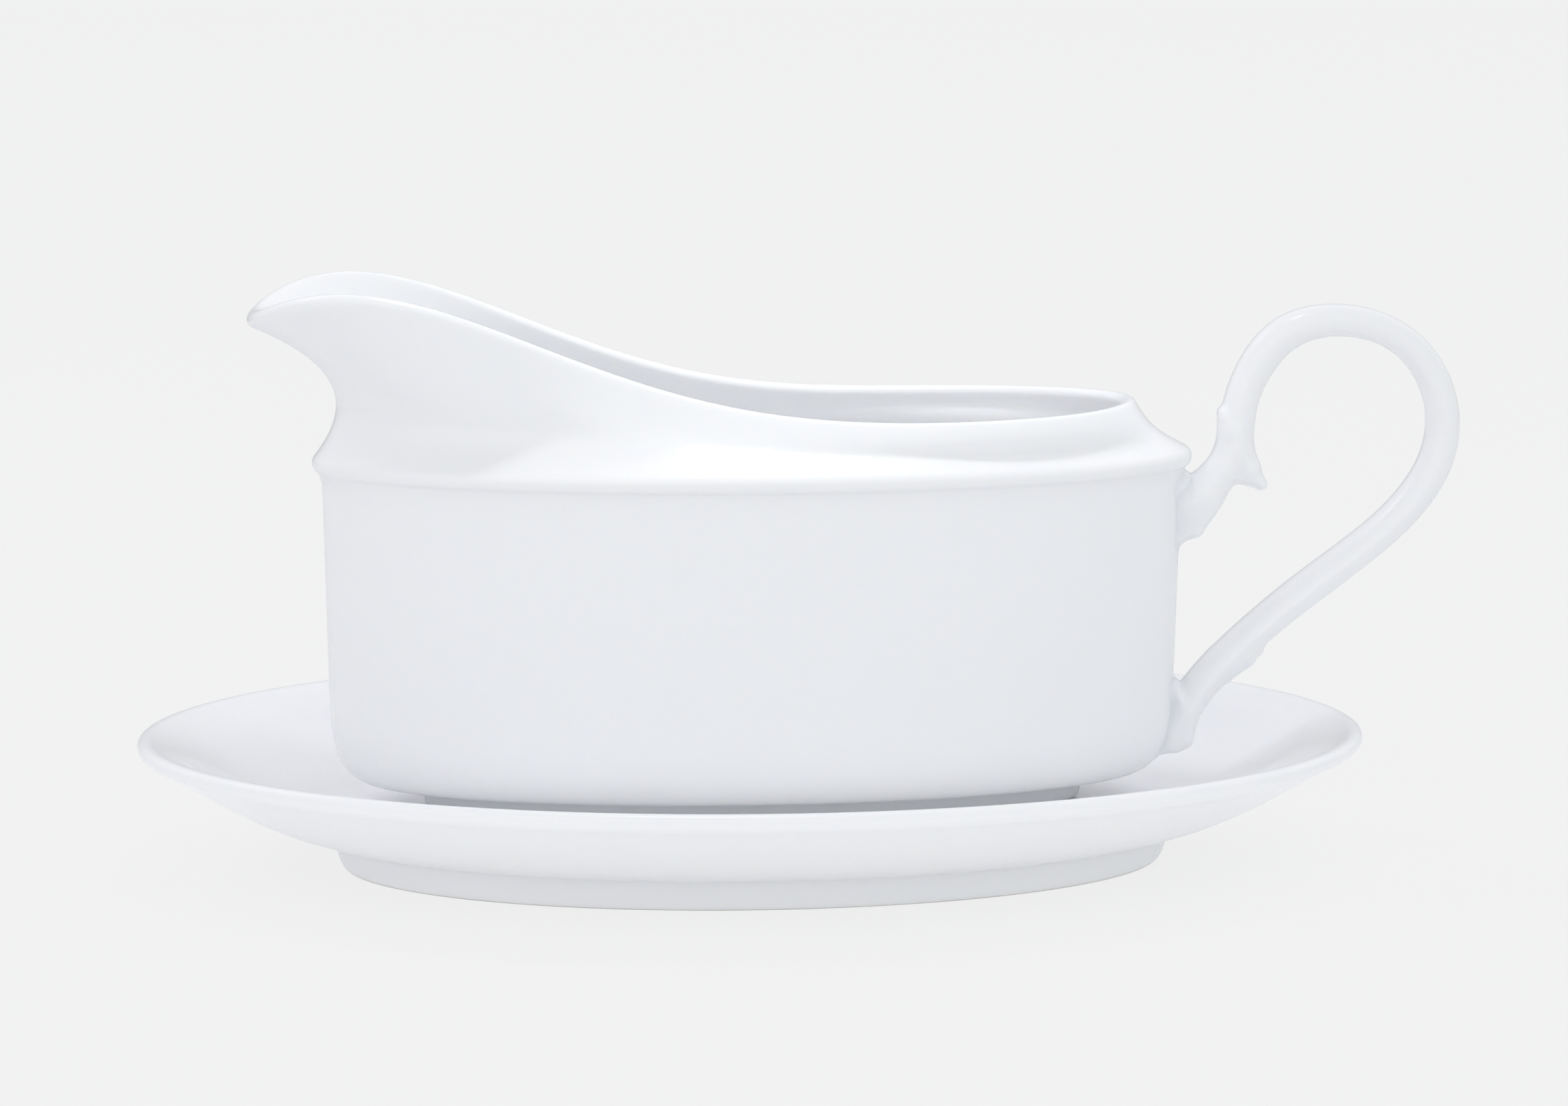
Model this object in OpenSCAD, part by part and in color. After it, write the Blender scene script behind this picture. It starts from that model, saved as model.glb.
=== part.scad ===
// Gravy boat on its underplate, glazed white porcelain.
// Millimetres. The origin is on the table plane under the middle of the
// underplate's foot ring, +Z up, the spout points along -X and the handle
// is at +X. Y = 0 is the plane of symmetry.

/* [Underplate] */
// Half the length of the underplate, out to the lip
plate_a = 115; // [105:0.5:125]
// Half the width of the underplate, out to the lip
plate_b = 77.3; // [70:0.1:82]
// Inset across the short axis for each mm of inset along the long axis
plate_squeeze = 0.925; // [0.9:0.005:0.95]
// Height of the flat well that the boat stands in
well_z = 11; // [10.6:0.1:11.4]

/* [Boat] */
// Half the length of the boat at its shoulder bead
bead_a = 82; // [79:0.5:84]
// Half the width of the boat at its shoulder bead
bead_b = 37.5; // [35:0.5:40]
// Height of the shoulder bead's crest
bead_z = 76; // [75:0.5:77]
// Radius of the shoulder bead
bead_r = 2; // [1.5:0.1:2.4]
// Middle of the rim along X
rim_mid = -12; // [-13:0.1:-11]
// Half the length of the rim
rim_a = 81.3; // [80:0.1:83]
// Thickness of the rounded lip
lip_t = 2.6; // [2.2:0.1:3]
// Height of the rim at the handle end
rim_z_back = 86.8; // [86:0.1:89]
// Height of the rim at the spout's tip
rim_z_tip = 103.2; // [102:0.1:105]

/* [Handle] */
// Half the width of the handle across Y in the loop
strap_w = 4; // [3.6:0.1:4.6]
// How far the luting slip spreads past the handle's feet
slip_spread = 1.6; // [1.2:0.1:2]

/* [Quality] */
// Steps round the oval pieces
n_around = 64; // [48:8:80]
// Steps along the collar between bead and lip
n_collar = 9; // [6:1:12]
// Steps round the handle's section
n_strap = 20; // [16:2:24]

/* [Hidden] */
porcelain = [0.94, 0.95, 0.97];
glaze_slip = [0.90, 0.92, 0.95];

// ---------- vectors, curves and skins ----------
function unit(v) = v / norm(v);
function sum(list, i = 0) = i >= len(list) ? 0 : list[i] + sum(list, i + 1);

// Uniform cubic B-spline between the control points start and end, t from 0 to 1
function spline(before, start, end, after, t) = (
    pow(1 - t, 3) * before
    + (3*t*t*t - 6*t*t + 4) * start
    + (-3*t*t*t + 3*t*t + 3*t + 1) * end
    + t*t*t * after) / 6;
// adds a mirrored point at each end, so that the spline reaches the end points
function extended(line) = let (last = len(line) - 1)
    concat([2*line[0] - line[1]], line, [2*line[last] - line[last - 1]]);
// Spline led by a line of control points, with n samples a span
function smooth(line, n) = let (q = extended(line)) concat(
    [for (i = [1 : len(q) - 3], k = [0 : n - 1]) spline(q[i-1], q[i], q[i+1], q[i+2], k / n)],
    [q[len(q) - 2]]);

// Even cosine series through values at equal angle steps from 0 to 180
function cos_terms(values) = let (n = len(values) - 1) [for (k = [0 : n])
    let (term = 2 / n * sum([for (j = [0 : n])
        (j == 0 || j == n ? 0.5 : 1) * values[j] * cos(180 * k * j / n)]))
    (k == 0 || k == n) ? term / 2 : term];
function cos_value(terms, turn) = sum([for (k = [0 : len(terms) - 1]) terms[k] * cos(k * turn)]);

// Angles round the ovals: 0 at the handle end, 180 at the spout
turns = [for (i = [0 : n_around - 1]) 360 * i / n_around];
function oval(a, b, z) = [for (turn = turns) [a * cos(turn), b * sin(turn), z]];

// Closed skin over a stack of rings, each with the same count of points,
// capped at both ends by a point
module skin(rings, first, last) {
    n = len(rings[0]);
    m = len(rings);
    points = concat([for (ring = rings) each ring], [first, last]);
    sides = [for (i = [0 : m - 2], j = [0 : n - 1]) each [
        [i*n + j, (i+1)*n + (j+1) % n, (i+1)*n + j],
        [i*n + j, i*n + (j+1) % n, (i+1)*n + (j+1) % n]]];
    first_cap = [for (j = [0 : n - 1]) [m*n, (j+1) % n, j]];
    last_cap = [for (j = [0 : n - 1]) [m*n + 1, (m-1)*n + j, (m-1)*n + (j+1) % n]];
    polyhedron(points = points, faces = concat(sides, first_cap, last_cap));
}

// ---------- underplate ----------
// Section from the well out to the lip, back under the lip and down to the
// foot ring: [inset from the lip, height]
plate_inside = [
    [40, well_z], [36.5, well_z], [33.5, well_z + 0.1], [30, well_z + 0.6], [26, well_z + 1.8],
    [22, 14.5], [18, 16.6], [14, 19], [10.5, 21.1], [8, 22.5], [6, 23.4], [4.4, 24.2],
    [3.1, 24.8], [2.1, 25.1]];
plate_lip = [[1.1, 25.05], [0.35, 24.65], [0, 23.95], [0.1, 23.15], [0.65, 22.4], [1.7, 21.75]];
plate_outside = [
    [3.3, 20.95], [6, 19.45], [10, 16.95], [15, 13.85], [20.5, 10.9], [26, 8.5],
    [31, 6.95], [34.4, 6.1], [35.8, 5.5], [36.3, 4.5]];
plate_under_z = 7;
plate_foot = [
    [36.6, 3.2], [37.1, 1.5], [37.7, 0.3], [38.5, -0.3], [39.4, -0.5], [40.3, -0.5],
    [41.1, -0.2], [41.7, 0.5], [42.1, 1.6], [42.5, 3.2], [43.3, 5.2], [44.8, 6.6],
    [47.2, plate_under_z], [50, plate_under_z]];
grind_depth = 6;

module underplate() {
    section = smooth(concat(plate_inside, plate_lip, plate_outside, plate_foot), 1);
    color(porcelain) difference() {
        skin([for (p = section) oval(plate_a - p[0], plate_b - plate_squeeze * p[0], p[1])],
            [0, 0, well_z], [0, 0, plate_under_z]);
        // the foot ring's edge is ground flat, on the table plane
        translate([-plate_a, -plate_a, -grind_depth])
            cube([2 * plate_a, 2 * plate_a, grind_depth]);
    }
}

// ---------- boat: wall and foot ----------
// the smoothed foot ring ends 0.04 above foot_z, so it stands 0.02 clear of the well
foot_z = well_z - 0.02;
floor_z = 18.9;
base_z = 15.7;
recess_z = 15;
// The next three tables are [inset from the bead's oval, height].
// Outside of the wall from the bead down to the rounded base
wall_out = [
    [1, bead_z - 1.75], [1.55, bead_z - 2.8], [1.8, bead_z - 4], [1.85, bead_z - 5.5],
    [1.95, 66], [2.1, 58], [2.3, 48], [2.5, 38], [2.7, 29], [3, 25], [3.9, 21],
    [5.8, 18], [8.4, 16.3], [11.3, base_z]];
// Foot ring, and the shallow recess under the floor
foot_ring = [
    [19, 15.4], [19.7, 14.6], [19.9, 13.6], [20.1, foot_z + 1], [20.5, foot_z + 0.25],
    [21.1, foot_z], [22, foot_z], [22.7, foot_z + 0.25], [23.1, foot_z + 1], [23.4, 13.6],
    [24, 14.6], [25.6, recess_z], [28, recess_z]];
// Inside of the wall from the floor up
wall_in = [
    [15.5, floor_z], [12, 19.1], [9.2, 20.2], [7.2, 22.4], [6.2, 25.5], [5.8, 30],
    [5.6, 38], [5.4, 48], [5.2, 58], [5.1, 66], [5, bead_z - 5]];
// the foot ring is a little rounder than the wall's oval
foot_inset_b = 2.8;
foot_squeeze = 0.75;

function wall_rings(line) =
    [for (p = smooth(line, 1)) oval(bead_a - p[0], bead_b - p[0], p[1])];
function foot_rings() = [for (p = smooth(foot_ring, 1))
    oval(bead_a - p[0], bead_b - foot_inset_b - foot_squeeze * p[0], p[1])];

// ---------- boat: rim, bead and collar ----------
// Rim: half-width factor and height at every 30 degrees from handle to spout
rim_w = cos_terms([39.7, 38.3, 32.4, 25.5, 29.1, 40.3, 45.4]);
rim_h = cos_terms([rim_z_back, 86.2, 85.7, 89.8, 104.1, 108, rim_z_tip]);
// Wall's outward lean at the lip, in degrees: inward at the back, flared at the spout
flare_back = -31;
flare_gain = 98;
flare_power = 3.5;
// Angle up the bead's arc where the collar leaves it, in degrees
shoulder_back = 62;
shoulder_drop = 24;
// The lip thickens a little towards the spout's nose
nose_gain = 0.6;
nose_power = 6;
lip_crown = 0.45; // height of the lip's rounding, as a share of its thickness
collar_t = 3.3; // thickness of the collar at the bead
// Reach of the collar's curve handles, as shares of its chord: [back, gain at the spout]
bead_pull = [0.42, 0.01];
lip_pull = [0.47, 0.24];
normal_step = 0.02;

// 0 at the handle end, 1 at the spout
function spoutness(turn) = (1 - cos(turn)) / 2;
function flare(turn) = flare_back + flare_gain * pow(spoutness(turn), flare_power);
function shoulder_lean(turn) = shoulder_back - shoulder_drop * spoutness(turn);
function lip_at(turn) = lip_t + nose_gain * pow(spoutness(turn), nose_power);

// Rim's line, and its directions: along, outward in plan, up the wall, outward from the wall
function rim_at(turn) =
    [rim_mid + rim_a * cos(turn), sin(turn) * cos_value(rim_w, turn), cos_value(rim_h, turn)];
function rim_along(turn) = unit(rim_at(turn + 1) - rim_at(turn - 1));
function rim_out(turn) = let (step = rim_at(turn + 1) - rim_at(turn - 1))
    unit([step[1], -step[0], 0]);
function rim_up(turn) = let (
    along = rim_along(turn),
    up = rim_out(turn) * sin(flare(turn)) + [0, 0, cos(flare(turn))])
    unit(up - (up * along) * along);
function rim_side(turn) = cross(rim_along(turn), rim_up(turn));

// Bead's crest line, its outward plan normal, and the arc above and below the crest
function bead_at(turn) = [bead_a * cos(turn), bead_b * sin(turn), bead_z];
function bead_out(turn) = unit([cos(turn) / bead_a, sin(turn) / bead_b, 0]);
function bead_arc(turn, lift) = bead_at(turn) - bead_out(turn) * bead_r * (1 - cos(lift))
    + [0, 0, bead_r * sin(lift)];

// The collar is a cubic sweep from the bead's arc (u = 0) to the lip's outer edge (u = 1)
function lip_edge(turn) = rim_at(turn) - rim_up(turn) * lip_at(turn) * lip_crown
    + rim_side(turn) * lip_at(turn) / 2;
function collar_at(turn, u) = let (
    lean = shoulder_lean(turn),
    spout = spoutness(turn),
    start = bead_arc(turn, lean),
    end = lip_edge(turn),
    chord = norm(end - start),
    start_dir = [0, 0, cos(lean)] - bead_out(turn) * sin(lean),
    start_pull = start + start_dir * chord * (bead_pull[0] + bead_pull[1] * spout),
    end_pull = end - rim_up(turn) * chord * (lip_pull[0] + lip_pull[1] * spout * spout))
    pow(1-u, 3) * start + 3*u*pow(1-u, 2) * start_pull + 3*u*u*(1-u) * end_pull + u*u*u * end;
function collar_normal(turn, u) = let (
    below = max(0, u - normal_step),
    above = min(1, u + normal_step))
    unit(cross(collar_at(turn + 1, u) - collar_at(turn - 1, u),
        collar_at(turn, above) - collar_at(turn, below)));
function collar_in(turn, u) = u >= 1
    ? collar_at(turn, 1) - rim_side(turn) * lip_at(turn)
    : collar_at(turn, u)
        - collar_normal(turn, u) * (collar_t + (lip_at(turn) - collar_t) * u);
// lift runs over the lip from 0 at its outer edge to 180 at its inner edge
function lip_cap(turn, lift) = collar_at(turn, 1)
    + rim_side(turn) * lip_at(turn) / 2 * (cos(lift) - 1)
    + rim_up(turn) * lip_at(turn) * lip_crown * sin(lift);

// ---------- boat: solids ----------
outer_rings = concat(
    [for (k = [n_collar : -1 : 0]) [for (turn = turns) collar_at(turn, k / n_collar)]],
    [for (part = [0.66, 0.33]) [for (turn = turns) bead_arc(turn, part * shoulder_lean(turn))]],
    [for (lift = [0, -25, -45]) [for (turn = turns) bead_arc(turn, lift)]],
    wall_rings(wall_out));
// the inside skips the collar's first steps, where the wall bends past the bead
inner_rings = concat(
    wall_rings(wall_in),
    [for (k = [2 : n_collar]) [for (turn = turns) collar_in(turn, k / n_collar)]]);
lip_rings = [for (lift = [150, 110, 70, 30]) [for (turn = turns) lip_cap(turn, lift)]];
envelope_top_z = 90;

module boat_body() {
    color(porcelain) skin(concat(inner_rings, lip_rings, outer_rings, foot_rings()),
        [0, 0, floor_z], [0, 0, recess_z]);
}

// The boat's outside as one filled solid, used to trim what is luted on to it
module boat_envelope() {
    skin(outer_rings, [rim_mid, 0, envelope_top_z], [0, 0, base_z]);
}

// ---------- handle ----------
// Centre line in the XZ plane, from the upper foot round the loop to the lower foot:
// [x, z, half the thickness, half the width]
strap = [
    [77.5, 66.2, 6.6, 6.2], [80.5, 66.1, 6.1, 5.9], [83.2, 67.2, 4.8, 5.4],
    [86.1, 70.2, 3.55, 4.9], [89.1, 73.9, 3.3, 4.6], [90.6, 78, 3.4, 4.4],
    [90.8, 82, 3.3, strap_w + 0.2], [91.9, 88.3, 3.2, strap_w], [95.7, 95.2, 3.45, strap_w],
    [100.2, 99.2, 3.4, strap_w], [106, 101, 3.15, strap_w], [113.4, 100.9, 3, strap_w],
    [121, 98.4, 2.9, strap_w], [127, 92.8, 3, strap_w], [130.4, 85, 3.15, strap_w],
    [130.4, 77, 3.3, strap_w + 0.2], [127.6, 70.1, 3.3, strap_w + 0.3],
    [121.7, 62.9, 3.25, strap_w + 0.4], [113.8, 56.5, 3.3, strap_w + 0.5],
    [104.7, 49.9, 3.4, strap_w + 0.6], [97.6, 44.3, 3.25, strap_w + 0.6],
    [90.9, 38.1, 3.4, strap_w + 0.7], [85.1, 32.3, 3.35, strap_w + 0.9],
    [81.5, 26.9, 3.1, strap_w + 1.1], [79.9, 22.6, 3.4, strap_w + 1.2],
    [78.8, 20.6, 3.1, strap_w + 1.1]];
strap_line = smooth(strap, 2);
strap_last = len(strap_line) - 1;
rib_power = 1.08; // above 1 the section is slightly pointed, a fine rib along each side

function strap_mid(i) = [strap_line[i][0], 0, strap_line[i][1]];
function strap_dir(i) = unit(strap_mid(min(strap_last, i + 1)) - strap_mid(max(0, i - 1)));
function strap_point(i, turn) = let (dir = strap_dir(i), side = [-dir[2], 0, dir[0]])
    strap_mid(i) + side * strap_line[i][2] * cos(turn)
    + [0, strap_line[i][3] * sign(sin(turn)) * pow(abs(sin(turn)), rib_power), 0];
module strap_solid() {
    skin([for (i = [0 : strap_last])
        [for (k = [0 : n_strap - 1]) strap_point(i, 360 * k / n_strap)]],
        strap_mid(0), strap_mid(strap_last));
}

// Moulded leaf tips, each a chain of flattened balls: [x, z, radius, stretch across Y]
leaf_tips = [
    // spur and knob on the upper foot
    [[91, 76.6, 3.3, 1.35], [92.9, 73.4, 2.5, 1.7], [95.8, 70, 1.1, 2]],
    [[90.2, 72.2, 2.2, 1.8], [95.5, 70.1, 1.1, 2]],
    [[89.6, 80.2, 2.3, 1.5], [88.3, 83.5, 1.25, 1.5]],
    // sheath on the lower foot
    [[89.2, 35.7, 3.2, 1.35], [92.9, 37.4, 2.5, 1.55], [95.3, 38.6, 1.5, 1.8]],
    // undersides of the two feet
    [[84.6, 67.2, 2.8, 1.6], [82, 64, 3.5, 1.6]],
    [[82.2, 24.6, 2.6, 1.7], [81.4, 21.8, 2.6, 1.8]],
    // webs that fill the notches above the two feet
    [[79.3, 70.6, 2, 3], [81.1, 71.8, 1.3, 3.2]],
    [[79.6, 31.7, 1.5, 3.2], [81.5, 27.5, 2.4, 2.1]]];
module leaf_ball(ball) {
    translate([ball[0], 0, ball[1]]) scale([1, ball[3], 1]) sphere(r = ball[2], $fn = 20);
}
module handle_solid() {
    strap_solid();
    for (chain = leaf_tips, i = [0 : len(chain) - 2]) hull() {
        leaf_ball(chain[i]);
        leaf_ball(chain[i + 1]);
    }
}

module handle() {
    color(porcelain) difference() {
        handle_solid();
        boat_envelope();
    }
}

// ---------- luting slip ----------
// Fired luting slip: a thin collar round each foot where it meets the wall.
// Each is a low mound on the wall, hollowed by the foot that stands in it.
slip_x = bead_a - 2.3;
slip_root = 2.5; // how far the mound starts inside slip_x
slip_steps = 8;
slip_disc_t = 0.05;

module slip_mound(z, half_h, half_w, depth) {
    for (k = [0 : slip_steps - 1]) hull() {
        for (step = [k, k + 1])
            let (part = step / slip_steps, spread = slip_spread * (1 - part) * (1 - part))
            translate([slip_x - slip_root + (depth + slip_root) * part, 0, z])
                rotate([0, 90, 0]) scale([half_h + spread, half_w + spread, 1])
                    cylinder(r = 1, h = slip_disc_t, $fn = 32);
    }
}
module upper_luting_slip() {
    color(glaze_slip) difference() {
        slip_mound(z = 65.9, half_h = 6.5, half_w = 5.9, depth = 1.5);
        handle_solid();
        boat_envelope();
    }
}
module lower_luting_slip() {
    color(glaze_slip) difference() {
        slip_mound(z = 25.9, half_h = 5.9, half_w = 5, depth = 1.2);
        handle_solid();
        boat_envelope();
    }
}

underplate();
boat_body();
handle();
upper_luting_slip();
lower_luting_slip();
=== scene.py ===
"""Gravy boat on its underplate, in glazed porcelain, with its stage, lights and camera.
The spout is at -X, the handle at +X and the front at -Y. Y = 0 is the plane of symmetry and the
table is z = 0. The pieces are laid out in millimetres and turned into metres when a mesh is made;
materials, stage, lights and camera are in metres."""

import math

import bpy
import numpy as np
from mathutils import Matrix, Vector


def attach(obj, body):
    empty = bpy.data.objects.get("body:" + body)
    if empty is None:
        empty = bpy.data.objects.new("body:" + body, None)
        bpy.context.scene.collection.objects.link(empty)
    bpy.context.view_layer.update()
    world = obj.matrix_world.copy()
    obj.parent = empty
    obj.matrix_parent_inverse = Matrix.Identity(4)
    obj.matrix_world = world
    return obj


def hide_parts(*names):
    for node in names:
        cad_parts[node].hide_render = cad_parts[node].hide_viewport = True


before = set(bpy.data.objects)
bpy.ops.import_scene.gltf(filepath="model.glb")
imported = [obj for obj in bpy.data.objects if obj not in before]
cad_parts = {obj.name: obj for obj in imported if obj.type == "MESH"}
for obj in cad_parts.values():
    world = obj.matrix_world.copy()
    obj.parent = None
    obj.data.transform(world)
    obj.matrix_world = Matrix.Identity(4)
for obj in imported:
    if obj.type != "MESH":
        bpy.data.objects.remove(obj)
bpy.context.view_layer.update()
MM = 0.001
DEG = math.pi / 180
UP = np.array([0.0, 0.0, 1.0])

RING_POINTS = 320                                  # points round each ring of a turned piece
TURN = 2 * math.pi * np.arange(RING_POINTS) / RING_POINTS   # 0 at the handle, pi at the spout
DISC_FRACTIONS = (0.08, 0.25, 0.45, 0.65, 0.85)    # sizes of the rings that fill a flat end


# ---------------------------------------------------------------- curves
def bspline(points, steps):
    """Uniform cubic B-spline with mirrored ends, with so many steps a span."""
    p = np.asarray(points, float)
    p = np.vstack([2 * p[0] - p[1], p, 2 * p[-1] - p[-2]])
    curve = []
    for a, b, c, d in zip(p, p[1:], p[2:], p[3:]):
        for k in range(steps):
            t = k / steps
            curve.append(((1 - t) ** 3 * a + (3 * t ** 3 - 6 * t * t + 4) * b
                          + (-3 * t ** 3 + 3 * t * t + 3 * t + 1) * c + t ** 3 * d) / 6)
    curve.append(p[-2])
    return np.array(curve)


def cosine_terms(values):
    """Cosine series through values spaced evenly from 0 to pi."""
    n = len(values) - 1
    weights = np.array([0.5] + [1] * (n - 1) + [0.5])
    terms = [2 / n * sum(weights[j] * values[j] * math.cos(math.pi * k * j / n)
                         for j in range(n + 1)) for k in range(n + 1)]
    terms[0] /= 2
    terms[n] /= 2
    return terms


def cosine_value(terms, turn):
    return sum(term * np.cos(k * turn) for k, term in enumerate(terms))


def unit(v):
    return v / np.linalg.norm(v, axis=-1, keepdims=True)


def column(v):
    return v[:, None]


def oval(half_x, half_y, z, turn):
    return np.stack([half_x * np.cos(turn), half_y * np.sin(turn), 0 * turn + z], -1)


# ---------------------------------------------------------------- meshes
def make_mesh(name, verts, faces, materials, normals=None, face_material=None, scale=MM):
    mesh = bpy.data.meshes.new(name)
    mesh.from_pydata((np.asarray(verts) * scale).tolist(), [], faces)
    mesh.update()
    mesh.polygons.foreach_set("use_smooth", [True] * len(mesh.polygons))
    for material in materials:
        mesh.materials.append(material)
    if face_material is not None:
        mesh.polygons.foreach_set("material_index", face_material)
    mesh.update()
    if normals is not None:
        mesh.normals_split_custom_set_from_vertices(normals.tolist())
    ob = bpy.data.objects.new(name, mesh)
    bpy.context.scene.collection.objects.link(ob)
    return ob


def skin_mesh(name, rings, matt_below):
    """Closed skin over rings that run from the top side round to the underside.

    Both ends are filled flat. Faces centred below the height matt_below are unglazed.
    """
    top = [rings[0] * (f, f, 1) for f in DISC_FRACTIONS]
    bottom = [rings[-1] * (f, f, 1) for f in reversed(DISC_FRACTIONS)]
    rings = np.array(top + rings + bottom)
    count, n = rings.shape[:2]
    poles = [[0, 0, z] for z in rings[[0, -1], 0, 2]]
    verts = np.vstack([rings.reshape(-1, 3), poles])
    j = np.arange(n)
    k = (j + 1) % n
    quads = np.concatenate([np.stack([(i + 1) * n + j, (i + 1) * n + k, i * n + k, i * n + j], -1)
                            for i in range(count - 1)])
    last = (count - 1) * n
    tris = np.concatenate([np.stack([j, k, np.full(n, count * n)], -1),
                           np.stack([last + k, last + j, np.full(n, count * n + 1)], -1)])
    centre_z = np.concatenate([verts[faces].mean(1)[:, 2] for faces in (quads, tris)])
    return make_mesh(name, verts, quads.tolist() + tris.tolist(), [glaze, bisque],
                     face_material=(centre_z < matt_below).astype(np.int32))


# ---------------------------------------------------------------- materials
def add_node(tree, kind, inputs=None, **settings):
    """New shader node. Each input is given a value, or the output socket that feeds it."""
    node = tree.nodes.new("ShaderNode" + kind)
    for key, value in settings.items():
        setattr(node, key, value)
    for key, value in (inputs or {}).items():
        if isinstance(value, bpy.types.NodeSocket):
            tree.links.new(value, node.inputs[key])
        else:
            node.inputs[key].default_value = value
    return node


def node_material(name):
    material = bpy.data.materials.new(name)
    material.use_nodes = True
    return material, material.node_tree


def add_remap(tree, value, source, target):
    """Map Range from the source (low, high) to the target (low, high)."""
    return add_node(tree, "MapRange", {
        "From Min": source[0], "From Max": source[1],
        "To Min": target[0], "To Max": target[1], "Value": value}).outputs["Result"]


def glaze_material(name, base, thin, roughness):
    """Clear, slightly blue feldspar glaze over white porcelain.

    A little light goes into the body, and the glaze surface rolls very slightly. It is a touch
    thinner and whiter on edges and pools a touch bluer in hollows.
    """
    material, tree = node_material(name)
    tree.nodes.clear()
    output = add_node(tree, "OutputMaterial")
    place = add_node(tree, "TexCoord").outputs["Object"]

    def noise(scale, detail):
        return add_node(tree, "TexNoise", {"Scale": scale, "Detail": detail, "Roughness": 0.5,
                                           "Vector": place}).outputs["Fac"]

    # 0 in hollows, 1 on edges, with a slow drift between
    geometry = add_node(tree, "NewGeometry")
    edge = add_remap(tree, geometry.outputs["Pointiness"], (0.46, 0.54), (0.0, 1.0))
    drift = add_remap(tree, noise(scale=22.0, detail=3.0), (0.3, 0.7), (-0.12, 0.12))
    thinness = add_node(tree, "Math", {0: edge, 1: drift}, operation="ADD", use_clamp=True)
    tint = add_node(tree, "Mix", {"A": (*base, 1), "B": (*thin, 1),
                                  "Factor": thinness.outputs[0]}, data_type="RGBA")

    # a few pin-point specks of iron, far apart and faint: only cells with high red have one
    cells = add_node(tree, "TexVoronoi", {"Scale": 95.0, "Vector": place})
    speck = add_remap(tree, cells.outputs["Distance"], (0.015, 0.03), (0.10, 0.0))
    split = add_node(tree, "SeparateColor", {"Color": cells.outputs["Color"]})
    chosen = add_node(tree, "Math", {0: split.outputs["Red"], 1: 0.93}, operation="GREATER_THAN")
    specks = add_node(tree, "Math", {0: speck, 1: chosen.outputs[0]},
                      operation="MULTIPLY", use_clamp=True)
    colour = add_node(tree, "Mix", {"Factor": specks.outputs[0], "A": tint.outputs["Result"],
                                    "B": (0.42, 0.38, 0.33, 1)}, data_type="RGBA")
    uneven = add_remap(tree, noise(scale=45.0, detail=2.0), (0.3, 0.7),
                       (roughness * 0.9, roughness * 1.12))

    # long roll of the glaze, then the fine ripple left by spraying
    roll = add_node(tree, "Bump", {"Strength": 0.5, "Distance": 0.00012,
                                   "Height": noise(scale=60.0, detail=1.0)}).outputs["Normal"]
    ripple = add_node(tree, "Bump", {"Strength": 0.35, "Distance": 0.00002,
                                     "Height": noise(scale=520.0, detail=2.0), "Normal": roll})
    shader = add_node(tree, "BsdfPrincipled", {
        "Base Color": colour.outputs["Result"],
        "Roughness": uneven,
        "IOR": 1.52,
        "Subsurface Weight": 0.30,
        "Subsurface Radius": (1.0, 0.85, 0.7),
        "Subsurface Scale": 0.003,
        "Coat Weight": 0.06,
        "Coat Roughness": 0.24,
        "Coat IOR": 1.5,
        "Normal": ripple.outputs["Normal"],
        "Coat Normal": roll})
    tree.links.new(shader.outputs["BSDF"], output.inputs["Surface"])
    return material


def bisque_material(name):
    """The ground, unglazed edge of a foot ring: matt, a little warmer, with a fine grain."""
    material, tree = node_material(name)
    place = add_node(tree, "TexCoord").outputs["Object"]
    grain = add_node(tree, "TexNoise", {"Scale": 1400.0, "Detail": 4.0, "Vector": place})
    cloud = add_node(tree, "TexNoise", {"Scale": 60.0, "Vector": place})
    # 0.35 of the grain and 0.65 of the cloud
    blend = add_node(tree, "Math", {0: grain.outputs["Fac"], 1: 0.35}, operation="MULTIPLY_ADD")
    share = add_node(tree, "Math", {0: cloud.outputs["Fac"], 1: 0.65}, operation="MULTIPLY")
    tree.links.new(share.outputs[0], blend.inputs[2])
    ramp = add_node(tree, "ValToRGB", {"Fac": blend.outputs[0]})
    stops = [(0.3, (0.60, 0.575, 0.53, 1)), (0.7, (0.72, 0.70, 0.665, 1))]
    for element, (position, colour) in zip(ramp.color_ramp.elements, stops):
        element.position = position
        element.color = colour
    bump = add_node(tree, "Bump", {"Strength": 0.6, "Distance": 0.00008,
                                   "Height": grain.outputs["Fac"]})
    shader = tree.nodes["Principled BSDF"]
    shader.inputs["Roughness"].default_value = 0.78
    tree.links.new(ramp.outputs["Color"], shader.inputs["Base Color"])
    tree.links.new(bump.outputs["Normal"], shader.inputs["Normal"])
    return material


glaze = glaze_material("porcelain_glaze", base=(0.900, 0.912, 0.940),
                       thin=(0.925, 0.932, 0.945), roughness=0.22)
bisque = bisque_material("ground_bisque")

# ---------------------------------------------------------------- underplate
PLATE_HALF_X, PLATE_HALF_Y = 115.0, 77.3
PLATE_SQUEEZE = 0.925                              # inset along Y for each mm of inset along X
WELL_Z = 11.0
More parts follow.
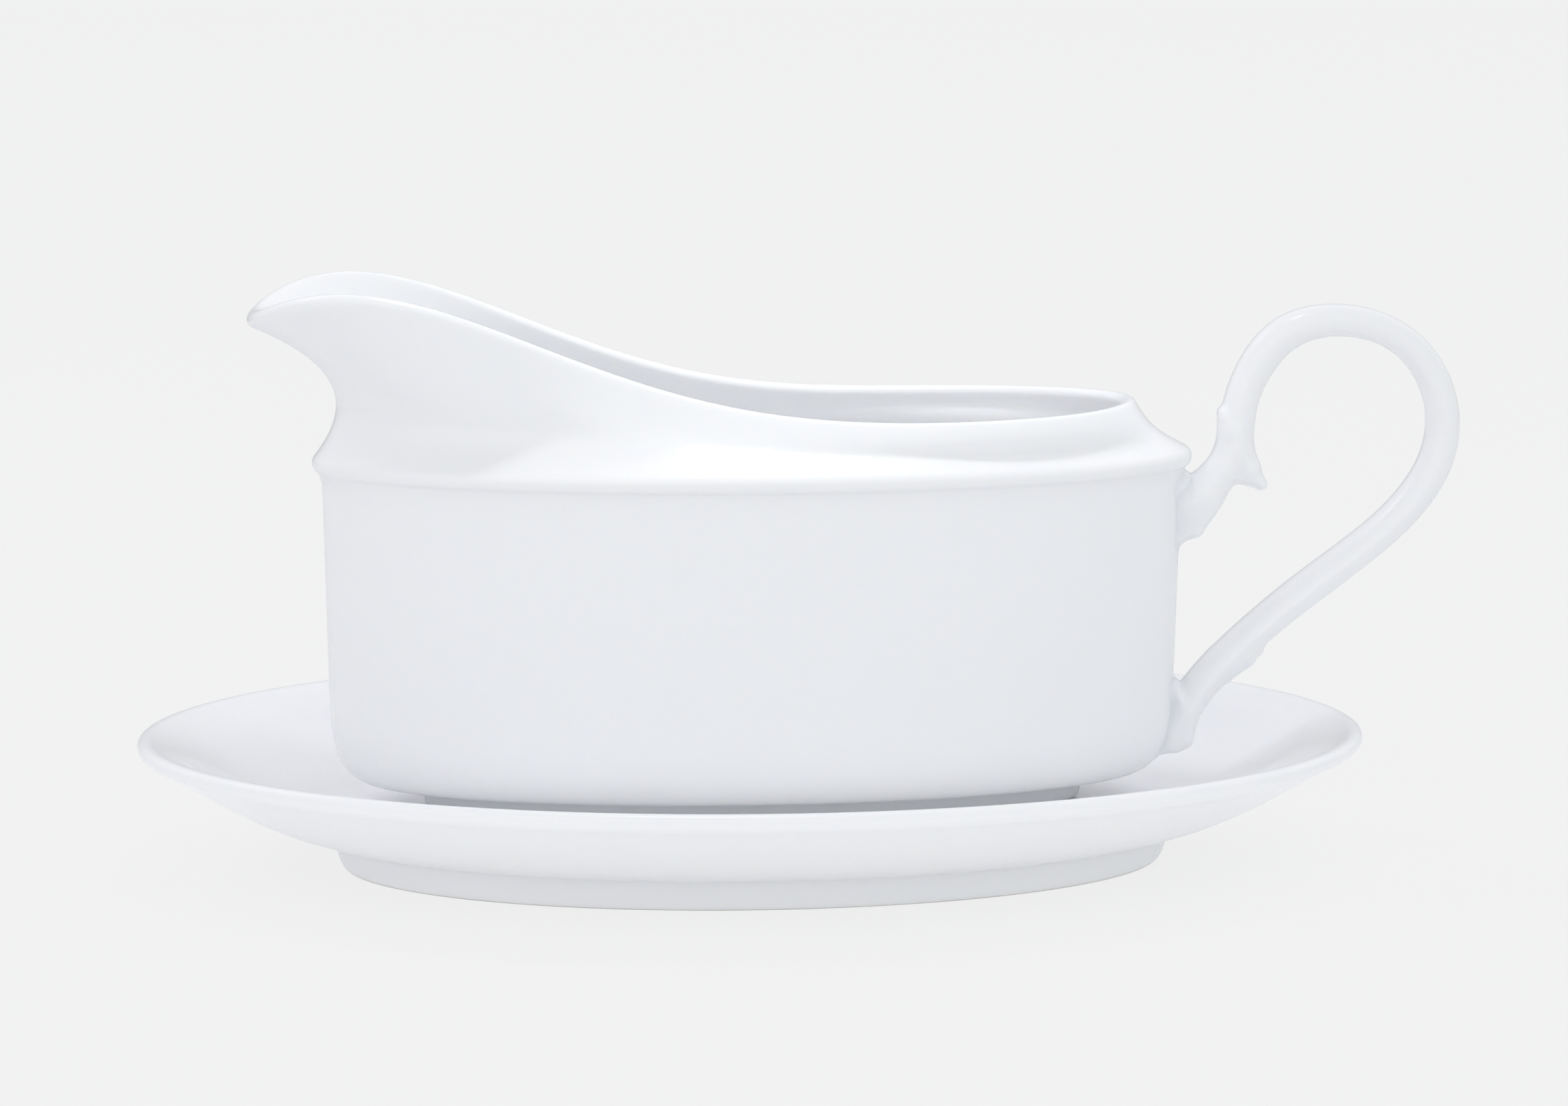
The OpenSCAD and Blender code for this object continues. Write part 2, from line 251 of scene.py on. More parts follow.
# [inset from the plate's edge along X, z], from the well over the rim to the underside
PLATE_SECTION = [
    [40, WELL_Z], [36.5, WELL_Z], [33.5, 11.1], [30, 11.6], [26, 12.8], [22, 14.5], [18, 16.6],
    [14, 19], [11, 20.95], [8.6, 22.45], [7.2, 23.1], [5.6, 23.75], [4.2, 24.3], [3, 24.8],
    [2.1, 25.1], [1.1, 25.05], [0.35, 24.65], [0, 23.95], [0.1, 23.15], [0.65, 22.4],
    [1.7, 21.75], [3.3, 20.95], [6, 19.45], [10, 16.95], [15, 13.85], [20.5, 10.9], [26, 8.5],
    [31, 6.95], [34.4, 6.1], [35.8, 5.5], [36.3, 4.5], [36.6, 3.2], [37.1, 1.5], [37.7, 0.3],
    [38.5, -0.3], [39.4, -0.5], [40.3, -0.5], [41.1, -0.2], [41.7, 0.5], [42.1, 1.6],
    [42.5, 3.2], [43.3, 5.2], [44.8, 6.6], [47.2, 7], [50, 7]]


def underplate():
    """The foot ring is ground flat on the table."""
    rings = [oval(PLATE_HALF_X - inset, PLATE_HALF_Y - PLATE_SQUEEZE * inset, max(z, 0.0), TURN)
             for inset, z in bspline(PLATE_SECTION, 4)]
    return skin_mesh("underplate_glazed", rings, matt_below=0.12)


# ---------------------------------------------------------------- boat
WALL_HALF_X, WALL_HALF_Y = 82.0, 37.5              # oval at the widest line of the bead
BEAD_Z, BEAD_R = 76.0, 2.0                         # the bead runs round the top of the wall
COLLAR_THICK, LIP_THICK = 3.3, 2.6                 # the collar thins from the bead to the lip
LIP_HEIGHT = 0.45                                  # height of the lip's cap over its thickness
COLLAR_IN_START = 0.30                             # where the inner wall has met the collar
GRIND = 0.02                                       # gap from the well to the foot's flat edge
FOOT_LOW = WELL_Z - GRIND                          # the section dips this low before it is cut

# Sections of the boat: [inset from the wall's oval, z]
WALL_OUT = [
    [1, BEAD_Z - 1.75], [1.55, BEAD_Z - 2.8], [1.8, BEAD_Z - 4], [1.85, BEAD_Z - 5.5],
    [1.95, 66], [2.1, 58], [2.3, 48], [2.5, 38], [2.7, 29], [3, 25], [3.9, 21], [5.8, 18],
    [8.4, 16.3], [11.3, 15.7]]
FOOT_RING = [
    [19, 15.4], [19.7, 14.6], [19.9, 13.6], [20.1, FOOT_LOW + 1], [20.5, FOOT_LOW + 0.25],
    [21.1, FOOT_LOW], [22, FOOT_LOW], [22.7, FOOT_LOW + 0.25], [23.1, FOOT_LOW + 1],
    [23.4, 13.6], [24, 14.6], [25.6, 15], [28, 15]]
WALL_IN = [
    [15.5, 18.9], [12, 19.1], [9.2, 20.2], [7.2, 22.4], [6.2, 25.5], [5.8, 30], [5.6, 38],
    [5.4, 48], [5.2, 58], [5.1, 66], [5, BEAD_Z - 5]]

# The rim, in plan and height; half widths and heights are for every 30 degrees, handle to spout
RIM_MID_X, RIM_HALF_X = -12.0, 81.3
RIM_HALF_WIDTH = cosine_terms([39.7, 38.3, 32.4, 25.5, 29.1, 40.3, 45.4])
RIM_HEIGHT = cosine_terms([86.8, 86.2, 85.7, 89.8, 104.1, 108.0, 103.2])


def spoutness(turn):
    """0 at the handle end, 1 at the spout."""
    return (1 - np.cos(turn)) / 2


def rim_at(turn):
    return np.stack([RIM_MID_X + RIM_HALF_X * np.cos(turn),
                     np.sin(turn) * cosine_value(RIM_HALF_WIDTH, turn),
                     cosine_value(RIM_HEIGHT, turn)], -1)


def rim_along(turn):
    return unit(rim_at(turn + DEG) - rim_at(turn - DEG))


def rim_up(turn):
    """Square to the rim, leaning in by 31 degrees at the handle and out by 67 at the spout."""
    along = rim_along(turn)
    outward = unit(np.stack([along[:, 1], -along[:, 0], 0 * turn], -1))
    lean = (-31 + 98 * spoutness(turn) ** 3.5) * DEG
    up = outward * column(np.sin(lean)) + UP * column(np.cos(lean))
    return unit(up - (up * along).sum(-1, keepdims=True) * along)


def rim_side(turn):
    """Across the lip, towards the outside."""
    return np.cross(rim_along(turn), rim_up(turn))


def lip_at(turn):
    return LIP_THICK + 0.6 * spoutness(turn) ** 6


def bead_out(turn):
    return unit(np.stack([np.cos(turn) / WALL_HALF_X, np.sin(turn) / WALL_HALF_Y, 0 * turn], -1))


def bead_arc(turn, angle):
    """Ring on the bead, the angle measured upwards from its widest line."""
    angle = angle + 0 * turn
    return (oval(WALL_HALF_X, WALL_HALF_Y, BEAD_Z, turn)
            - bead_out(turn) * column(BEAD_R * (1 - np.cos(angle)))
            + UP * column(BEAD_R * np.sin(angle)))


def bead_end(turn):
    """Angle on the bead at which the collar starts."""
    return (62 - 24 * spoutness(turn)) * DEG


def collar_at(turn, u):
    """Outer face of the collar, a Bezier curve from the bead (u = 0) to the lip (u = 1)."""
    spout = spoutness(turn)
    angle, lip, up = bead_end(turn), lip_at(turn), rim_up(turn)
    start = bead_arc(turn, angle)
    end = rim_at(turn) - up * column(lip * LIP_HEIGHT) + rim_side(turn) * column(lip / 2)
    length = np.linalg.norm(end - start, axis=-1)
    leaving = UP * column(np.cos(angle)) - bead_out(turn) * column(np.sin(angle))
    after_start = start + leaving * column(length * (0.42 + 0.01 * spout))
    before_end = end - up * column(length * (0.47 + 0.24 * spout * spout))
    return ((1 - u) ** 3 * start + 3 * u * (1 - u) ** 2 * after_start
            + 3 * u * u * (1 - u) * before_end + u ** 3 * end)


def collar_normal(turn, u):
    below, above = max(0, u - 0.02), min(1, u + 0.02)
    return unit(np.cross(collar_at(turn + DEG, u) - collar_at(turn - DEG, u),
                         collar_at(turn, above) - collar_at(turn, below)))


def collar_in(turn, u):
    thick = COLLAR_THICK + (lip_at(turn) - COLLAR_THICK) * u
    return collar_at(turn, u) - collar_normal(turn, u) * column(thick)


def lip_cap(turn, angle):
    """Rounded top of the lip: angle 0 is its outer edge, pi its inner edge."""
    lip = lip_at(turn)
    return (collar_at(turn, 1) + rim_side(turn) * column(lip / 2 * (math.cos(angle) - 1))
            + rim_up(turn) * column(lip * LIP_HEIGHT * math.sin(angle)))


def wall_ring(inset, z):
    return oval(WALL_HALF_X - inset, WALL_HALF_Y - inset, z, TURN)


def foot_ring(inset, z):
    """The foot ring is a little rounder than the wall's oval, and ground flat."""
    return oval(WALL_HALF_X - inset, WALL_HALF_Y - 2.8 - 0.75 * inset, max(z, WELL_Z + GRIND), TURN)


def inner_join(inner):
    """Rings that run the inner wall on into the inside of the collar."""
    start, start_way = inner[-1], inner[-1] - inner[-2]
    end = collar_in(TURN, COLLAR_IN_START)
    end_way = (collar_in(TURN, COLLAR_IN_START + 0.02)
               - collar_in(TURN, COLLAR_IN_START - 0.02)) / 0.04
    chord = np.linalg.norm(end - start, axis=-1, keepdims=True)
    start_pull, end_pull = unit(start_way) * chord, unit(end_way) * chord
    rings = []
    for k in range(1, 12):
        s = k / 12
        rings.append((2 * s ** 3 - 3 * s * s + 1) * start + (s ** 3 - 2 * s * s + s) * start_pull
                     + (-2 * s ** 3 + 3 * s * s) * end + (s ** 3 - s * s) * end_pull)
    return rings


def boat_body():
    inner = [wall_ring(*p) for p in bspline(WALL_IN, 3)]
    inside = [collar_in(TURN, u) for u in np.linspace(COLLAR_IN_START, 1, 25)[:-1]]
    cap = [lip_cap(TURN, math.pi * k / 14) for k in range(14, -1, -1)]
    outside = [collar_at(TURN, u) for u in np.linspace(1, 0, 33)[1:]]
    angles = [bead_end(TURN) * f for f in (0.8, 0.6, 0.4, 0.2)]
    angles += [a * DEG for a in (0, -11, -23, -34, -45)]
    bead = [bead_arc(TURN, angle) for angle in angles]
    outer = [wall_ring(*p) for p in bspline(WALL_OUT, 3)]
    foot = [foot_ring(*p) for p in bspline(FOOT_RING, 3)]
    return skin_mesh("boat_body_glazed",
                     inner + inner_join(inner) + inside + cap + outside + bead + outer + foot,
                     matt_below=WELL_Z + 0.1)


# ---------------------------------------------------------------- handle
# Centre line from the upper foot round to the lower: [x, z, half thickness, half width along Y]
STRAP = [
    [77.5, 66.2, 6.6, 6.2], [80.5, 66.1, 6.1, 5.9], [83.2, 67.2, 4.8, 5.4],
    [86.1, 70.2, 3.55, 4.9], [89.1, 73.9, 3.3, 4.6], [90.6, 78, 3.4, 4.4], [90.8, 82, 3.3, 4.2],
    [91.9, 88.3, 3.2, 4], [95.7, 95.2, 3.45, 4], [100.2, 99.2, 3.4, 4], [106, 101, 3.15, 4],
    [113.4, 100.9, 3, 4], [121, 98.4, 2.9, 4], [127, 92.8, 3, 4], [130.4, 85, 3.15, 4],
    [130.4, 77, 3.3, 4.2], [127.6, 70.1, 3.3, 4.3], [121.7, 62.9, 3.25, 4.4],
    [113.8, 56.5, 3.3, 4.5], [104.7, 49.9, 3.4, 4.6], [97.6, 44.3, 3.25, 4.6],
    [90.9, 38.1, 3.4, 4.7], [85.1, 32.3, 3.35, 4.9], [81.5, 26.9, 3.1, 5.1],
    [79.9, 22.6, 3.4, 5.2], [78.8, 20.6, 3.1, 5.1], [77.8, 17.6, 3.1, 5.1],
    [76.9, 14.6, 3.1, 5.1]]
STRAP_END_Z = 19.4                                 # flat end of the lower foot

# Lumps on the strap: (blend into the handle, rounded cones). A cone is (blend into the cones
# before it, ball, ball), and a ball is [x, z, radius, stretch along Y].
LUMPS = [
    # knob on the upper leaf
    (1.2, [(0, [89.5, 79.8, 2.2, 1.8], [88.5, 83.1, 1.35, 2.4]),
           (0.6, [88.5, 83.1, 1.35, 2.4], [88.25, 83.8, 1.1, 2.4])]),
    # spur on the outer side of the upper limb
    (1.8, [(0, [91, 76.6, 3.2, 1.38], [92.9, 73.3, 2.45, 1.75]),
           (1.0, [92.9, 73.3, 2.45, 1.75], [95.75, 70.05, 1.0, 2.3]),
           (1.4, [89.6, 72.5, 1.9, 2.1], [95.3, 70.1, 1.0, 2.3])]),
    # heel under the upper foot
    (1.8, [(0, [85.9, 67.7, 2.3, 2.0], [82.8, 61.95, 1.85, 2.4]),
           (0.8, [82.8, 61.95, 1.85, 2.4], [79.8, 61.0, 1.9, 2.6])]),
    # webs of slip that fill the notches above the two feet
    (1.2, [(0, [79.3, 70.4, 2.0, 3.0], [81.0, 71.6, 1.2, 3.2])]),
    (1.6, [(0, [79.6, 31.7, 1.5, 3.2], [81.5, 27.5, 2.4, 2.1])]),
    # sheath of the lower foot
    (1.6, [(0, [89.0, 35.5, 3.2, 1.38], [92.9, 37.3, 2.45, 1.6]),
           (0.8, [92.9, 37.3, 2.45, 1.6], [95.4, 38.5, 1.45, 1.9])]),
    # toe of the lower foot
    (1.4, [(0, [81.6, 26.5, 2.7, 1.75], [81.5, 22.2, 2.5, 1.85]),
           (0.8, [81.5, 22.2, 2.5, 1.85], [79.6, 21.6, 2.5, 1.9])])]

# The luting slip that joins the handle to the wall
FILLET_UPPER, FILLET_LOWER, FILLET_SPLIT_Z = 2.7, 2.6, 50
SKIN_SINK = 0.03                                   # the joined surface is drawn in this much
ROOT_DEPTH = 0.9                                   # how far the handle runs into the wall
FILLET_MARGIN = 0.2                                # slip kept beyond the fillet's reach

# Sampling grid
GRID_STEP = 0.32
GRID_LOW, GRID_HIGH = [71.0, -11.9, 15.6], [134.4, 11.9, 105.4]

LINE = bspline(STRAP, 20)
SEGMENTS = len(LINE) - 1
SEGMENT_START, SEGMENT_WAY = LINE[:-1, :2], LINE[1:, :2] - LINE[:-1, :2]
SEGMENT_SQUARED = (SEGMENT_WAY ** 2).sum(-1)
ARC = np.concatenate([[0], np.cumsum(np.sqrt(SEGMENT_SQUARED))])


def arc_at(x, z):
    return ARC[((LINE[:, 0] - x) ** 2 + (LINE[:, 1] - z) ** 2).argmin()]


STEM_START = arc_at(91.8, 86)                      # where the stem leaves the upper leaf
RIB_START, RIB_FULL = arc_at(130.4, 84), arc_at(121.7, 62.9)   # side ribs rise between these


def from_segment(x, z, segment):
    """Fraction along the segment of its nearest point, and the offset from that point."""
    way_x, way_z = SEGMENT_WAY[segment, 0], SEGMENT_WAY[segment, 1]
    dx, dz = x - SEGMENT_START[segment, 0], z - SEGMENT_START[segment, 1]
    fraction = np.clip((dx * way_x + dz * way_z) / SEGMENT_SQUARED[segment], 0, 1)
    return fraction, dx - fraction * way_x, dz - fraction * way_z


def nearest_segments(x, z, batch=8192):
    """Index of the nearest centre-line segment for every point."""
    best = np.empty(len(x), np.int32)
    for i in range(0, len(x), batch):
        part = slice(i, i + batch)
        _, dx, dz = from_segment(x[part, None], z[part, None], np.arange(SEGMENTS)[None])
        best[part] = (dx ** 2 + dz ** 2).argmin(1)
    return best


def strap_frame(x, z, hint, reach=6):
    """Signed offset from the centre line, arc length along it, half thickness and half width.

    Only segments within reach of the hint are searched.
    """
    segment = np.clip(hint[:, None] + np.arange(-reach, reach + 1)[None], 0, SEGMENTS - 1)
    _, dx, dz = from_segment(x[:, None], z[:, None], segment)
    segment = segment[np.arange(len(x)), (dx ** 2 + dz ** 2).argmin(1)]
    fraction, dx, dz = from_segment(x, z, segment)
    # positive on the outer side of the loop
    side = dz * SEGMENT_WAY[segment, 0] - dx * SEGMENT_WAY[segment, 1]
    offset = np.sqrt(dx ** 2 + dz ** 2) * np.where(side < 0, -1, 1)
    arc = ARC[segment] + fraction * np.sqrt(SEGMENT_SQUARED[segment])
    here, after = LINE[segment, 2:], LINE[segment + 1, 2:]
    half_thick, half_wide = (here + (after - here) * column(fraction)).T
    return offset, arc, half_thick, half_wide


def smooth_min(a, b, blend):
    h = np.maximum(blend - np.abs(a - b), 0) / blend
    return np.minimum(a, b) - h * h * h * blend / 6


def smooth_step(x, low, high):
    s = np.clip((x - low) / (high - low), 0, 1)
    return s * s * (3 - 2 * s)


def swell(x, rise_from, rise_to, fall_from, fall_to):
    return smooth_step(x, rise_from, rise_to) * (1 - smooth_step(x, fall_from, fall_to))


def rounded_cone(x, y, z, start, end):
    """Distance to a rounded cone between two balls: [x, z, radius, stretch along Y]."""
    start, end = np.array(start), np.array(end)
    way = end[:2] - start[:2]
    f = np.clip(((x - start[0]) * way[0] + (z - start[1]) * way[1]) / (way @ way), 0, 1)
    stretch = start[3] + (end[3] - start[3]) * f
    radius = start[2] + (end[2] - start[2]) * f
    return np.sqrt((x - start[0] - f * way[0]) ** 2 + (z - start[1] - f * way[1]) ** 2
                   + (y / stretch) ** 2) - radius


# Outer wall and bead, upwards: [inset, z]; the last two points close in over the bead
WALL = np.vstack([
    bspline(WALL_OUT, 6)[::-1],
    [[BEAD_R * (1 - math.cos(a * DEG)), BEAD_Z + BEAD_R * math.sin(a * DEG)]
     for a in (-45, -30, -15, 0, 15, 30, 50)],
    [[4.5, 80], [12, 84]]])


def wall_distance(x, y, z, rise=0.2):
    inset = np.interp(z, WALL[:, 1], WALL[:, 0])
    slope = (np.interp(z + rise, WALL[:, 1], WALL[:, 0]) - inset) / rise
    a, b = WALL_HALF_X - inset, WALL_HALF_Y - inset
    size = np.sqrt((x / a) ** 2 + (y / b) ** 2)
    growth = np.sqrt((x / a ** 2) ** 2 + (y / b ** 2) ** 2) / size
    return (size - 1) / growth / np.sqrt(1 + slope ** 2)


def leaf_relief(x, z, offset, arc, half_thick):
    """How far the moulded upper leaf stands proud of the stem."""
    # the leaf's mouth: high at the knob, dipping across the stem
    mouth = 83.1 - 0.9 * (x - 88.0) + 0.16 * (x - 88.0) ** 2
    below = mouth - z
    side = 1 - smooth_step(x, 90.2, 93.2)          # fades out away from the boat
    lift = 0.19 * swell(below, -1.3, 1.4, 1.6, 6.5) * side
    lobes = 0.06 * np.cos((x - 88.4) * 2.9) * swell(below, -0.6, 1.2, 1.6, 5.0) * side
    veins = 0.05 * np.cos(offset / half_thick * 8.0) * swell(below, 0.5, 2.5, 5.0, 10.0)
    return np.where(arc < STEM_START + 8, lift + lobes + veins, 0.0)


def sheath_relief(x, z, offset):
    """The lower foot's sheath: a slight step round the stem where the clay was pushed up."""
    # distance from the sheath's slanted mouth towards the foot
    within = -((x - 96.9) * 0.70 + (z - 39.0) * 0.71 + 0.25 * offset)
    lift = 0.10 * swell(within, -1.2, 1.3, 3.0, 12.0) * smooth_step(offset, -0.5, 2.5)
    return np.where((z < 46) & (x < 104), lift, 0.0)


def stem_distance(y, z, offset, arc, half_thick, half_wide):
    """Oval strap with the flat end of its lower foot."""
    # a fine rib runs along both sides of the lower limb and fades out up the bow
    rise = smooth_step(arc, RIB_START, RIB_FULL) * smooth_step(z, 25.0, 30.0)
    rib = 0.20 * np.exp(-(offset / 0.75) ** 2) + 0.22 * np.exp(-(offset / 1.6) ** 2)
    wide = half_wide + rib * rise
    size = np.sqrt((offset / half_thick) ** 2 + (y / wide) ** 2)
    growth = np.sqrt((offset / half_thick ** 2) ** 2 + (y / wide ** 2) ** 2)
    stem = np.where(size < 1e-4, -half_thick, (size - 1) * size / np.maximum(growth, 1e-9))
    return -smooth_min(-stem, z - STRAP_END_Z, 1.8)


def handle_distance(x, y, z, hint):
    offset, arc, half_thick, half_wide = strap_frame(x, z, hint)
    stem = stem_distance(y, z, offset, arc, half_thick, half_wide)
    relief = leaf_relief(x, z, offset, arc, half_thick) + sheath_relief(x, z, offset)
    body = stem - relief * np.exp(-(np.maximum(stem, 0) / 3) ** 2)
    for blend, ((_, *first), *others) in LUMPS:
        lump = rounded_cone(x, y, z, *first)
        for inner_blend, start, end in others:
            lump = smooth_min(lump, rounded_cone(x, y, z, start, end), inner_blend)
        body = smooth_min(body, lump, blend)
    return body


def handle_field(x, y, z, hint):
    """Negative inside the handle with its fillets, cut off just under the wall's surface."""
    body = handle_distance(x, y, z, hint)
    wall = wall_distance(x, y, z)
    fillet = np.where(z > FILLET_SPLIT_Z, FILLET_UPPER, FILLET_LOWER)
    joined = smooth_min(body, wall, fillet)
    field = np.maximum(joined + SKIN_SINK, -(wall + ROOT_DEPTH))
    return np.maximum(field, body - fillet - FILLET_MARGIN)


def face_steps(axis):
    """Unit grid steps along the other two axes."""
    return np.eye(3, dtype=int)[[(axis + 1) % 3, (axis + 2) % 3]]


def surface_net(field, origin, step):
    """Closed surface of field < 0: a vertex in each grid cell that it crosses, quads between."""
    inside = field < 0
    shape = np.array(field.shape) - 1
    corners = list(np.ndindex(2, 2, 2))
    filled = sum(inside[i:i + shape[0], j:j + shape[1], k:k + shape[2]].astype(np.int8)
                 for i, j, k in corners)
    cells = np.argwhere((filled > 0) & (filled < 8))
    index = np.full(filled.shape, -1, np.int64)
    index[tuple(cells.T)] = np.arange(len(cells))
    # each vertex is the mean of the crossings on its cell's edges
    total, count = np.zeros((len(cells), 3)), np.zeros(len(cells))
    for corner in corners:
        for axis in range(3):
            if corner[axis]:
                continue
            way = np.eye(3, dtype=int)[axis]
            start, end = field[tuple((cells + corner).T)], field[tuple((cells + corner + way).T)]
            cut = (start < 0) != (end < 0)
            t = np.where(cut, start / np.where(cut, start - end, 1), 0)
            total += (np.array(corner) + column(t) * way) * column(cut)
            count += cut
    verts = (cells + total / column(count)) * step + origin
    quads = []
    for axis in range(3):
        u, v = face_steps(axis)
        edges = np.argwhere(np.diff(inside, axis=axis))
        within = (edges > 0) & (edges < shape)
        within[:, axis] = True
        edges = edges[within.all(1)]
        leaving = inside[tuple(edges.T)]
        quad = np.stack([index[tuple((edges - s).T)] for s in (u + v, v, 0 * u, u)], -1)
        quad[~leaving] = quad[~leaving][:, ::-1]
        quads.append(quad)
    return verts, np.concatenate(quads)


def unpinch(field):
    """Fill a corner of each grid face that is inside and outside crosswise.

    Such a face would pinch the surface.
    """
    for _ in range(20):
        found = False
        for axis in range(3):
            u, v = face_steps(axis)
            size = np.array(field.shape) - u - v
            around = (0 * u, u, u + v, v)
            a, b, c, d = [field[tuple(slice(s, s + n) for s, n in zip(shift, size))] < 0
                          for shift in around]
            for cell in np.argwhere((a == c) & (b == d) & (a != b)):
                outside = [q for q in (tuple(cell + shift) for shift in around) if field[q] >= 0]
                if len(outside) > 1:
                    field[min((field[q], q) for q in outside)[1]] = -1e-3
                    found = True
        if not found:
            break


def largest_shell(n, quads):
    """Mask of the vertices in the largest connected shell."""
    label = np.arange(n)
    edges = np.concatenate([quads[:, [i, (i + 1) % 4]] for i in range(4)])
    while True:
        low = np.minimum(label[edges[:, 0]], label[edges[:, 1]])
        lower = label.copy()
        np.minimum.at(lower, edges[:, 0], low)
        np.minimum.at(lower, edges[:, 1], low)
        lower = lower[lower]
        if (lower == label).all():
            break
        label = lower
    values, counts = np.unique(label, return_counts=True)
    return label == values[counts.argmax()]


def limit_length(v, limit):
    length = np.linalg.norm(v, axis=-1, keepdims=True)
    return v * np.minimum(1, limit / np.maximum(length, 1e-9))


def field_gradient(points, hint, e=0.03):
    return np.stack([(handle_field(*(points + d).T, hint) - handle_field(*(points - d).T, hint))
                     / (2 * e) for d in np.eye(3) * e], -1)


def settle(verts, hint_near):
    """Pull the vertices onto the handle's surface, none further than 0.3 from its start."""
    start = verts
    for _ in range(3):
        hint = hint_near(verts)
        value, slope = handle_field(*verts.T, hint), field_gradient(verts, hint)
        step = column(value / np.maximum((slope * slope).sum(-1), 0.05)) * slope
        verts = verts - limit_length(step, 0.12)
        verts = start + limit_length(verts - start, 0.3)
    return verts


def handle_mesh():
    low, high = np.array(GRID_LOW), np.array(GRID_HIGH)
    size = np.ceil((high - low) / GRID_STEP).astype(int) + 1
    low[1] = -(size[1] - 1) * GRID_STEP / 2        # the grid is the same on both sides of Y = 0
    xs, ys, zs = [low[i] + GRID_STEP * np.arange(size[i]) for i in range(3)]
    x, z = [grid.ravel() for grid in np.meshgrid(xs, zs, indexing="ij")]
    hint = nearest_segments(x, z)
    hint_grid = hint.reshape(size[0], size[2])
    field = np.stack([handle_field(x, y, z, hint).reshape(hint_grid.shape) for y in ys], axis=1)
    field[np.abs(field) < 1e-9] = 1e-9
    unpinch(field)
    verts, quads = surface_net(field, low, GRID_STEP)

    def hint_near(points):
        i, _, k = np.clip(np.rint((points - low) / GRID_STEP).astype(int), 0, size - 1).T
        return hint_grid[i, k]

    verts = settle(verts, hint_near)
    normals = unit(field_gradient(verts, hint_near(verts)))
    keep = largest_shell(len(verts), quads)
    renumbered = np.cumsum(keep) - 1
    quads = renumbered[quads[keep[quads[:, 0]]]]
    return make_mesh("handle_glazed", verts[keep], quads.tolist(), [glaze], normals=normals[keep])


# ---------------------------------------------------------------- pieces
def register(piece, carrier, *replaced):
    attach(piece, carrier)
    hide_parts(*replaced)


register(underplate(), "underplate", "underplate")
register(boat_body(), "boat", "boat_body")
register(handle_mesh(), "boat", "handle", "upper_luting_slip", "lower_luting_slip")

# ---------------------------------------------------------------- stage
scene = bpy.context.scene

TABLE_Z = -0.00005                                 # just under the foot ring
FLAT_R, CURVE_R = 2.2, 0.8                         # flat paper, then the curve up into the wall
PAPER_SIDES = 96


def paper_material():
    """Pale paper. The camera sees it evenly lit with a soft shadow.

    Past the table top it throws no light back.
    """
    material, tree = node_material("paper_sweep")
    tree.nodes.clear()
    output = add_node(tree, "OutputMaterial")
    path = add_node(tree, "LightPath")
    paper = add_node(tree, "BsdfDiffuse", {"Color": (0.85, 0.85, 0.85, 1)}).outputs[0]
    glow = add_node(tree, "Emission", {"Color": (0.9105, 0.9105, 0.9105, 1)}, name="paper_seen")
    seen = add_node(tree, "MixShader", {0: 0.84, 1: paper, 2: glow.outputs[0]})
    clear = add_node(tree, "BsdfTransparent")
    place = add_node(tree, "NewGeometry").outputs["Position"]
    distance = add_node(tree, "VectorMath", {0: place}, operation="LENGTH").outputs["Value"]
    edge = add_remap(tree, distance, (0.7, 1.0), (0.0, 1.0))
    # an even glow over the table top, set to none, and a pool of light round the dish
    even = add_node(tree, "Emission", {"Strength": 0.0}, name="table_glow")
    pool = add_remap(tree, distance, (0.10, 0.22), (1.0, 0.0))
    dish = add_node(tree, "Math", {0: pool, 1: 0.205}, operation="MULTIPLY", name="dish_glow")
    near = add_node(tree, "Emission", {"Strength": dish.outputs[0]})
    lit = add_node(tree, "AddShader", {1: even.outputs[0]})
    pooled = add_node(tree, "AddShader", {0: paper, 1: near.outputs[0]})
    tree.links.new(pooled.outputs[0], lit.inputs[0])
    table = add_node(tree, "MixShader", {0: edge, 1: lit.outputs[0], 2: clear.outputs[0]})
    pick = add_node(tree, "MixShader", {0: path.outputs["Is Camera Ray"],
                                        1: table.outputs[0], 2: seen.outputs[0]})
    tree.links.new(pick.outputs[0], output.inputs["Surface"])
    return material


def paper_sweep():
    """Paper on the table that curves up on every side, so that no horizon shows."""
    wall_r = FLAT_R + CURVE_R
    section = [(r, TABLE_Z) for r in (0.4, 1.2, FLAT_R)]     # (radius, z)
    section += [(FLAT_R + CURVE_R * math.sin(a * DEG), CURVE_R - CURVE_R * math.cos(a * DEG))
                for a in range(10, 91, 10)]
    section += [(wall_r, 1.6), (wall_r, 3.2)]
    n = PAPER_SIDES
    verts = [(0, 0, TABLE_Z)]
    for r, z in section:
        verts += [(r * math.cos(2 * math.pi * k / n), r * math.sin(2 * math.pi * k / n), z)
                  for k in range(n)]
    faces = [(0, 1 + k, 1 + (k + 1) % n) for k in range(n)]
    for i in range(len(section) - 1):
        low, high = 1 + i * n, 1 + (i + 1) * n
        faces += [(low + k, high + k, high + (k + 1) % n, low + (k + 1) % n) for k in range(n)]
    make_mesh("paper_sweep", verts, faces, [paper_material()], scale=1)


paper_sweep()

